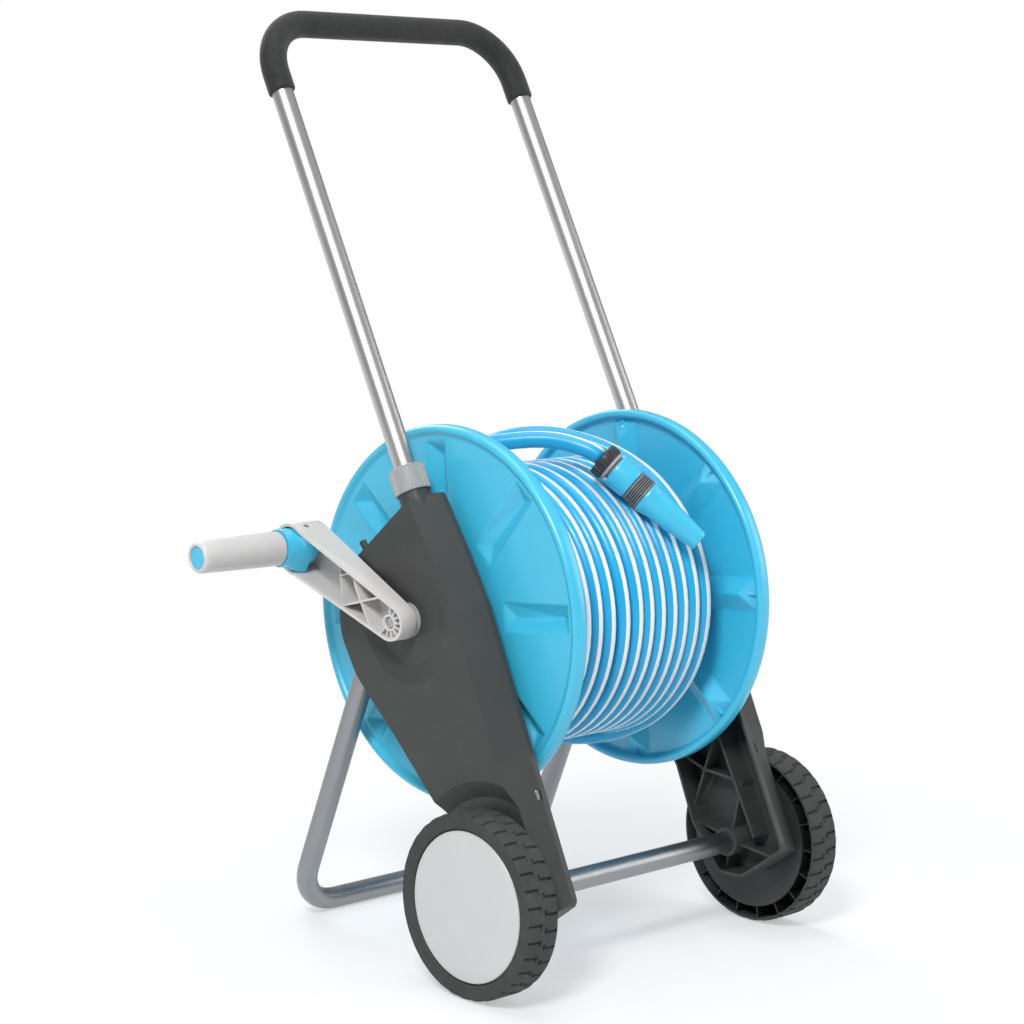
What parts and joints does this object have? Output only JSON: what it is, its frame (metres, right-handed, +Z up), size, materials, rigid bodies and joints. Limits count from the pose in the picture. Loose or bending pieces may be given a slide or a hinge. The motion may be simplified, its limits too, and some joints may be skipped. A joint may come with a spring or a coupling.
{
  "type": "garden hose reel cart",
  "caption": "Two-wheeled cart with a cranked hose drum between hollow side panels, a telescoping bar handle and a bent tube stand.",
  "frame": {"origin": "on the floor, under the middle of the cart's outer box, the hose and its fittings left out", "axes": "+X along the drum axle away from the crank, -Y towards the wheels, +Y towards the handle and stand foot, +Z up"},
  "size_m": [0.5674, 0.4878, 0.9384],
  "materials": {
    "panel_plastic": "fine textured dark grey polypropylene",
    "reel_blue": "satin sky-blue polypropylene",
    "handle_metal": "bright satin chromed steel tube",
    "stand_metal": "zinc plated steel tube",
    "grip_foam": "closed cell foam sleeve",
    "crank_grey": "light grey moulded plastic",
    "tyre_rubber": "matte charcoal tread",
    "wheel_plastic": "black moulded plastic",
    "cap_grey": "pale grey smooth plastic",
    "nut_grey": "ribbed warm grey plastic",
    "hose_pvc": "sky-blue braided hose with white stripes",
    "fastener_steel": "zinc plated steel",
    "dark_plastic": "dark grey ribbed plastic",
    "bush_plastic": "natural acetal",
    "seal_rubber": "black nitrile rubber"
  },
  "bodies": {
    "frame": {"side_panel_left": "panel_plastic", "side_panel_right": "panel_plastic", "accessory_peg": "dark_plastic", "collet_left": "bush_plastic", "collet_right": "bush_plastic", "stand_tube": "stand_metal", "stand_screws": "fastener_steel", "axle_tube": "stand_metal", "axle_rod": "fastener_steel", "axle_push_nuts": "fastener_steel", "hub_bush_left": "bush_plastic", "hub_bush_right": "bush_plastic", "inlet_retainer": "panel_plastic"},
    "handle": {"handle_tube": "handle_metal", "handle_grip": "grip_foam", "handle_end_plugs": "dark_plastic"},
    "lock_nut_left": {"lock_nut_left": "nut_grey"},
    "lock_nut_right": {"lock_nut_right": "nut_grey"},
    "wheel_left": {"wheel_core_left": "wheel_plastic", "tyre_left": "tyre_rubber", "hub_cap_left": "cap_grey"},
    "wheel_right": {"wheel_core_right": "wheel_plastic", "tyre_right": "tyre_rubber", "hub_cap_right": "cap_grey"},
    "reel": {"reel_flange_left": "reel_blue", "reel_flange_right": "reel_blue", "reel_drum": "reel_blue", "reel_screws": "fastener_steel", "water_shaft": "dark_plastic", "crank_arm": "crank_grey", "crank_screw": "fastener_steel", "crank_nut": "fastener_steel", "crank_pin": "fastener_steel", "hose_winding": "hose_pvc", "hose_free_end": "hose_pvc", "hose_nut": "dark_plastic", "hose_connector": "nut_grey", "nozzle_stem": "nut_grey"},
    "crank_handle": {"crank_knuckle": "reel_blue"},
    "crank_grip": {"crank_grip": "crank_grey"},
    "inlet": {"inlet_elbow": "dark_plastic", "inlet_seals": "seal_rubber"},
    "coupling_collar": {"coupling_collar": "reel_blue"},
    "nozzle_cone": {"nozzle_cone": "reel_blue"}
  },
  "joints": [
    {"name": "wheel_left_spin", "type": "hinge", "parent": "frame", "child": "wheel_left", "pos_m": [-0.14475, -0.1539, 0.09], "axis": [1, 0, 0], "continuous": true},
    {"name": "wheel_right_spin", "type": "hinge", "parent": "frame", "child": "wheel_right", "pos_m": [0.25925, -0.1539, 0.09], "axis": [1, 0, 0], "continuous": true},
    {"name": "handle_slide", "type": "slide", "parent": "frame", "child": "handle", "axis": [0, 0.4711, 0.8821], "range_m": [-0.235, 0]},
    {"name": "lock_nut_left_turn", "type": "hinge", "parent": "frame", "child": "lock_nut_left", "pos_m": [-0.10925, -0.00878, 0.47747], "axis": [0, 0.4711, 0.8821], "range_deg": [-90, 0]},
    {"name": "lock_nut_right_turn", "type": "hinge", "parent": "frame", "child": "lock_nut_right", "pos_m": [0.22375, -0.00878, 0.47747], "axis": [0, 0.4711, 0.8821], "range_deg": [-90, 0]},
    {"name": "reel_spin", "type": "hinge", "parent": "frame", "child": "reel", "pos_m": [0.05725, -0.0274, 0.344], "axis": [1, 0, 0], "continuous": true},
    {"name": "crank_fold", "type": "hinge", "parent": "reel", "child": "crank_handle", "pos_m": [-0.15475, 0.10409, 0.40392], "axis": [0, -0.4147, 0.91], "range_deg": [0, 77]},
    {"name": "crank_grip_spin", "type": "hinge", "parent": "crank_handle", "child": "crank_grip", "pos_m": [-0.23275, 0.10409, 0.40392], "axis": [1, 0, 0], "continuous": true},
    {"name": "inlet_swivel", "type": "hinge", "parent": "frame", "child": "inlet", "pos_m": [0.24725, -0.0274, 0.344], "axis": [1, 0, 0], "continuous": true},
    {"name": "collar_release", "type": "slide", "parent": "reel", "child": "coupling_collar", "axis": [-0.4555, 0.6364, 0.6225], "range_m": [0, 0.0025], "stiffness_N_per_m": 600},
    {"name": "nozzle_twist", "type": "hinge", "parent": "reel", "child": "nozzle_cone", "pos_m": [0.10294, -0.15888, 0.44148], "axis": [0.4555, -0.6364, -0.6225], "range_deg": [0, 270]}
  ]
}
